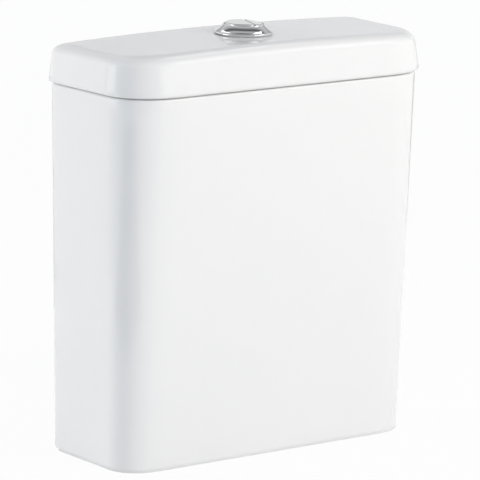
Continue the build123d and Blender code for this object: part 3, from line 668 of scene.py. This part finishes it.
# The two button caps are chromed plastic shells that share one round well. The large one gives
# the full flush and the small one, cut lower towards its rim, the half flush.
button_turn = radians(-19.3)
cap_radius = 18.15
cap_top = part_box("full_flush_button")[1].z / mm
cap_round = 1.5
cap_corner = 1.6
least_cap_corner = 0.2
split_offset = 4.85
split_gap = 0.5
cap_skirt = 17.0
cap_wall = 1.6
cap_clearance = 0.3
cap_step = 0.8
cap_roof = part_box("full_button_spring")[1].z / mm + cap_clearance
half_slope = tan(radians(5.5))


def cap_outline(chord, inset):
    """Circle segment beyond a chord, with rounded corners, drawn in by an inset."""
    corner = max(cap_corner - inset, least_cap_corner)
    edge = chord + inset
    radius = cap_radius - inset
    centre_x = edge + corner
    centre_y = ((radius - corner) ** 2 - centre_x ** 2) ** 0.5
    meet = atan2(centre_y, centre_x)
    points = [(edge, centre_y * (1 - 2 * n / 16)) for n in range(17)]
    for n in range(1, 10):
        angle = mix(-pi, -meet, n / 10)
        points.append((centre_x + corner * cos(angle), -centre_y + corner * sin(angle)))
    for n in range(65):
        angle = mix(-meet, meet, n / 64)
        points.append((radius * cos(angle), radius * sin(angle)))
    for n in range(1, 10):
        angle = mix(meet, pi, n / 10)
        points.append((centre_x + corner * cos(angle), centre_y + corner * sin(angle)))
    return points


def close_ends(data, count):
    """Fill the first and last rings of an open skin."""
    data.verts.ensure_lookup_table()
    data.faces.new([data.verts[n] for n in reversed(range(count))])
    data.faces.new([data.verts[len(data.verts) - count + n] for n in range(count)])
    bmesh.ops.recalc_face_normals(data, faces=data.faces)


def cap_mesh(side):
    """One hollow cap: side -1 is the large one and +1 the small one."""
    chord = split_gap / 2 + side * split_offset
    foot = cap_top - cap_skirt
    rows = [(cap_wall, cap_roof), (cap_wall, foot), (0.0, foot)]
    rows += [(0.0, mix(foot, cap_top - cap_round, 0.5)), (0.0, cap_top - cap_round)]
    rows += [(cap_round * across, cap_top - cap_round + cap_round * up) for across, up in quarter(8)[1:]]
    rows += [(cap_round + n * cap_step, cap_top) for n in range(1, 5)]
    rings = []
    for inset, z in rows:
        ring = []
        for x, y in cap_outline(chord, inset):
            fall = 0.0
            if side > 0 and (inset, z) != rows[0]:
                fall = (x - chord) * half_slope * max(0.0, (z - foot) / cap_skirt)
            ring.append((side * x, side * y, z - fall))
        rings.append(ring)
    data = skin(rings, closed=False)
    close_ends(data, len(rings[0]))
    turn = Matrix.Translation(Vector((0, valve_y * mm, 0))) @ Matrix.Rotation(button_turn, 4, "Z")
    bmesh.ops.transform(data, matrix=turn, verts=data.verts)
    return data


for name, side, node, body in (
    ("chrome_full_cap", -1, "full_flush_button", "full_button"),
    ("chrome_half_cap", 1, "half_flush_button", "half_button"),
):
    cap = mesh_piece(name, cap_mesh(side), body)
    cap.data.materials.append(chrome)
    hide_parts(node)

# Everything below the lid is moulded plastic, rubber or drawn steel. The mouldings carry a fine
# spark-eroded grain, the rubbers a dull bloom, and each keeps the colour its maker codes it by.


def moulding(name, dark, light, gloss):
    """Moulded plastic: a fine grain, slow drift in tone and a few flow marks."""
    finish = Finish(name)
    place = finish.place()
    drift = finish.noise(place, 18.0, 3.0)
    grain = finish.noise(place, 1800.0, 2.0)
    flow = finish.node(
        "ShaderNodeTexWave", {"wave_type": "BANDS"}, {"Vector": place, "Scale": 60.0, "Distortion": 6.0}, 1
    )
    return finish.surface(
        {
            "Base Color": finish.blend(drift * 0.8 + flow * 0.2, (*dark, 1), (*light, 1)),
            "Roughness": gloss + drift * 0.08 + grain * 0.06,
            "Normal": finish.bump(grain + flow * 0.15, 0.05 * mm, 0.4),
        }
    )


def rubber(name, dark, light, cell):
    """Rubber or foam with its skin's pores and a dull bloom."""
    finish = Finish(name)
    place = finish.place()
    bloom = finish.noise(place, 60.0, 4.0)
    pores = finish.node("ShaderNodeTexVoronoi", {}, {"Vector": place, "Scale": cell}, "Distance")
    return finish.surface(
        {
            "Base Color": finish.blend(bloom, (*dark, 1), (*light, 1)),
            "Roughness": 0.62 + bloom * 0.25,
            "Normal": finish.bump(pores + bloom * 0.2, 0.2 * mm, 0.5),
        }
    )


def drawn_steel(name):
    """Drawn stainless wire and pins with fine lines from the die."""
    finish = Finish(name)
    place = finish.place()
    stretched = finish.node("ShaderNodeMapping", {}, {"Vector": place, "Scale": (2400.0, 60.0, 2400.0)})
    lines = finish.noise(stretched, 1.0, 2.0)
    return finish.surface(
        {
            "Base Color": finish.blend(lines, (0.52, 0.52, 0.51, 1), (0.68, 0.68, 0.67, 1)),
            "Metallic": 1.0,
            "Roughness": 0.2 + lines * 0.15,
            "Normal": finish.bump(lines, 0.02 * mm, 0.4),
        }
    )


finishes = {
    "chrome": chrome,
    "white_plastic": moulding("white_moulding", (0.78, 0.78, 0.75), (0.86, 0.86, 0.84), 0.32),
    "grey_plastic": moulding("grey_moulding", (0.42, 0.44, 0.45), (0.55, 0.57, 0.58), 0.34),
    "blue_plastic": moulding("blue_moulding", (0.05, 0.16, 0.36), (0.09, 0.24, 0.47), 0.3),
    "float_foam": rubber("float_foam", (0.84, 0.84, 0.8), (0.93, 0.93, 0.9), 900.0),
    "black_rubber": rubber("black_rubber", (0.022, 0.022, 0.022), (0.04, 0.04, 0.04), 2200.0),
    "foam_rubber": rubber("foam_rubber", (0.045, 0.045, 0.05), (0.085, 0.085, 0.09), 520.0),
    "silicone": rubber("red_silicone", (0.6, 0.2, 0.13), (0.72, 0.28, 0.19), 2600.0),
    "steel": drawn_steel("drawn_steel"),
}
for subpart in frame["record"]["subparts"]:
    if subpart["material_slot"] in finishes:
        nodes[subpart["node"]].material_slots[0].material = finishes[subpart["material_slot"]]

# Each cap stands on a coil spring of drawn steel wire, which sits on the guide disc round the
# push rod. The real spring closes up as the cap goes down and lifts it again; this coil keeps
# its length and rides with the lid.
spring_wire = 0.4
spring_turns = 6
steps_per_turn = 24
wire_sides = 12


def coil_mesh(low, high):
    """Wire wound round the middle of a box, from its floor to its top."""
    middle_x, middle_y = (low.x + high.x) / 2 / mm, (low.y + high.y) / 2 / mm
    winding = (high.x - low.x) / 2 / mm - spring_wire
    steps = steps_per_turn * spring_turns
    rings = []
    for step in range(steps + 1):
        angle = 2 * pi * step / steps_per_turn
        z = mix(low.z / mm + spring_wire, high.z / mm - spring_wire, step / steps)
        ring = []
        for n in range(wire_sides):
            round_wire = 2 * pi * n / wire_sides
            reach = winding + spring_wire * cos(round_wire)
            rise = spring_wire * sin(round_wire)
            ring.append((middle_x + reach * cos(angle), middle_y + reach * sin(angle), z + rise))
        rings.append(ring)
    data = skin(rings, closed=False)
    close_ends(data, len(rings[0]))
    return data


for size in ("full", "half"):
    spring_low, spring_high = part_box(size + "_button_spring")
    coil = mesh_piece(size + "_cap_coil", coil_mesh(spring_low, spring_high), "lid")
    coil.data.materials.append(finishes["steel"])
    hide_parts(size + "_button_spring")
    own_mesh(coil)

# The piece stands on a pale studio floor that runs out to a white background. Floor and world
# show white to the camera and in reflections alone, and light the piece a little less.
floor_reach = 40.0
floor_glow = 0.95


def sheet_mesh(name, width, depth):
    """A flat rectangle of stage material."""
    data = bmesh.new()
    corners = [(-1, -1), (1, -1), (1, 1), (-1, 1)]
    data.faces.new([data.verts.new((x * width / 2, y * depth / 2, 0)) for x, y in corners])
    mesh = bpy.data.meshes.new(name)
    data.to_mesh(mesh)
    data.free()
    made = bpy.data.objects.new(name, mesh)
    bpy.context.scene.collection.objects.link(made)
    return made


def seen_rays(finish, kinds):
    """One for rays of the named kinds and nought for all others."""
    rays = finish.tree.nodes.new("ShaderNodeLightPath")
    seen = Wire(finish, rays.outputs[kinds[0]])
    for kind in kinds[1:]:
        other = Wire(finish, rays.outputs[kind])
        seen = finish.node("ShaderNodeMath", {"operation": "MAXIMUM"}, {0: seen, 1: other})
    return seen


floor = sheet_mesh("studio_floor", 2 * floor_reach, 2 * floor_reach)
floor_finish = Finish("studio_floor")
seen = seen_rays(floor_finish, ("Is Camera Ray", "Is Glossy Ray"))
floor_finish.surface({"Base Color": (0.8, 0.8, 0.8, 1), "Roughness": 0.9, "Specular IOR Level": 0.0})
paper = Wire(floor_finish, floor_finish.tree.nodes["Principled BSDF"].outputs[0])
glow = floor_finish.node("ShaderNodeEmission", {}, {"Color": (1, 1, 1, 1), "Strength": 1.0})
lit = floor_finish.node("ShaderNodeMixShader", {}, {0: seen * floor_glow, 1: paper, 2: glow})
floor_finish.feed(floor_finish.tree.nodes["Material Output"], {"Surface": lit})
floor.data.materials.append(floor_finish.material)

world = bpy.data.worlds.new("studio")
world.use_nodes = True
bpy.context.scene.world = world
sky = Finish("studio", world.node_tree)
seen = seen_rays(sky, ("Is Camera Ray", "Is Glossy Ray", "Is Transmission Ray"))
room_light = 0.86
room_tint = (0.92, 0.98, 1.045, 1)
tone = sky.blend(seen, room_tint, (1, 1, 1, 1))
sky.feed(sky.tree.nodes["Background"], {"Color": tone, "Strength": seen * (1 - room_light) + room_light})

# Two soft lamps light it, placed by compass angle from the front and by height angle: one
# before the front on the right and one behind the left side. A grey card overhead keeps the
# tops from washing out. The other cards are there only to be mirrored by the chrome and the
# glaze: rings of grey overhead, grey cards all round and pale panels.
middle = Vector((0, 0, 0.2))


def face_middle(made, turn, rise, distance):
    """Stand a lamp or card at a compass and height angle, turned to the piece."""
    turn = radians(turn)
    rise = radians(rise)
    away = Vector((sin(turn) * cos(rise), -cos(turn) * cos(rise), sin(rise)))
    made.location = middle + away * distance
    made.rotation_euler = away.to_track_quat("Z", "Y").to_euler()


def lamp(name, turn, rise, distance, width, height, power, warmth):
    """Soft rectangular lamp that faces the piece and isn't mirrored in it."""
    light = bpy.data.lights.new(name, "AREA")
    light.shape = "RECTANGLE"
    light.size = width
    light.size_y = height
    light.energy = power
    light.color = (1.0, 1.0 - warmth / 2, 1.0 - warmth)
    made = bpy.data.objects.new(name, light)
    face_middle(made, turn, rise, distance)
    made.visible_glossy = False
    bpy.context.scene.collection.objects.link(made)


lamp("front_softbox", 22, 27, 2.4, 0.7, 0.7, 19.5, 0.2)
lamp("rear_left_softbox", -139, 9, 2.2, 0.5, 0.7, 18.0, 0.12)

ceiling_height = 1.5
ceiling = sheet_mesh("overhead_card", 4.0, 4.0)
ceiling.location = middle + Vector((-0.8, 0.6, ceiling_height))
ceiling.visible_camera = False
ceiling.visible_glossy = False
grey = Finish("grey_card")
grey.surface({"Base Color": (0.505, 0.52, 0.545, 1), "Roughness": 0.9, "Specular IOR Level": 0.0})
ceiling.data.materials.append(grey.material)


def mirrored_card(name, width, height, tone):
    """A card with its own glow that shows in reflections alone."""
    card = sheet_mesh(name, width, height)
    card.visible_camera = False
    card.visible_diffuse = False
    card.visible_shadow = False
    finish = Finish(name)
    if isinstance(tone, list):
        away = finish.node("ShaderNodeVectorMath", {"operation": "LENGTH"}, {0: finish.place()}, "Value")
        tone = finish.node("ShaderNodeValToRGB", {"stops": tone}, {0: away / ring_reach}, "Color")
    else:
        tone = (tone, tone, tone, 1)
    glow = finish.node("ShaderNodeEmission", {}, {"Color": tone, "Strength": 1.0})
    finish.feed(finish.tree.nodes["Material Output"], {"Surface": glow})
    card.data.materials.append(finish.material)
    return card


ring_reach = 1.7 * ceiling_height
ring_tones = (
    (0.1, 0.2),
    (0.21, 0.62),
    (0.26, 0.5),
    (0.33, 0.13),
    (0.39, 0.13),
    (0.5, 0.5),
    (0.7, 0.65),
    (1.0, 0.8),
)
ring_stops = [(share, (tone, tone, tone)) for share, tone in ring_tones]
overhead = mirrored_card("overhead_rings", 2 * ring_reach, 2 * ring_reach, ring_stops)
overhead.location = (0.3 * ceiling_height, 0.4 * ceiling_height, 0.4 + ceiling_height)
for name, turn, rise, distance, width, height, tone in (
    ("camera_side_card", -45, 14, 3.0, 6.5, 2.4, 0.42),
    ("horizon_card", 142, 6, 3.0, 5.5, 1.7, 0.84),
    ("rear_card", 140, 33, 3.0, 5.5, 1.4, 0.5),
    ("right_panel", 17, 12, 2.8, 0.9, 1.4, 1.6),
    ("right_high_panel", 108, 59, 1.5, 0.4, 0.4, 1.6),
    ("rear_panel", 172, 51, 1.5, 0.25, 0.5, 1.6),
    ("front_panel", 46, 37, 2.4, 0.9, 0.8, 2.6),
    ("left_panel", -113, 9, 2.4, 0.8, 1.0, 3.0),
):
    face_middle(mirrored_card(name, width, height, tone), turn, rise, distance)
above_floor = 0.004
low_card = mirrored_card("low_card", 1.6, 0.85, 0.1)
low_card.location = (-1.3, -0.5, above_floor)
low_card.rotation_euler = (0, 0, radians(22))
rear_low_card = mirrored_card("rear_low_card", 3.2, 2.4, 0.35)
rear_low_card.location = (1.05, 1.8, above_floor)

# The camera looks down a little on the front left corner, from about four metres away, as in
# the photograph. Its angles, its place and its focal length come from a fit to the outline.
azimuth = radians(-38.169)
elevation = radians(11.675)
roll = radians(1.485)
focal_pixels = 4242.32
frame_pixels = 480
distance_share = 0.94917
slide_across = -0.667
slide_up = -18.897
aim_height = 215.0
back = Vector((sin(azimuth) * cos(elevation), -cos(azimuth) * cos(elevation), sin(elevation)))
level_right = Vector((0, 0, 1)).cross(back).normalized()
level_up = back.cross(level_right)
right = level_right * cos(roll) + level_up * sin(roll)
up = level_up * cos(roll) - level_right * sin(roll)
distance = focal_pixels * distance_share
eye = Vector((0, 0, aim_height)) + back * distance + right * slide_across + up * slide_up
lens = bpy.data.cameras.new("studio_camera")
lens.sensor_width = 36.0
lens.lens = focal_pixels / frame_pixels * lens.sensor_width
lens.clip_end = 100.0
camera = bpy.data.objects.new("studio_camera", lens)
turn = Matrix((right, up, back)).transposed()
camera.matrix_world = Matrix.Translation(eye * mm) @ turn.to_4x4()
bpy.context.scene.collection.objects.link(camera)
bpy.context.scene.camera = camera
bpy.context.scene.view_settings.view_transform = "Standard"
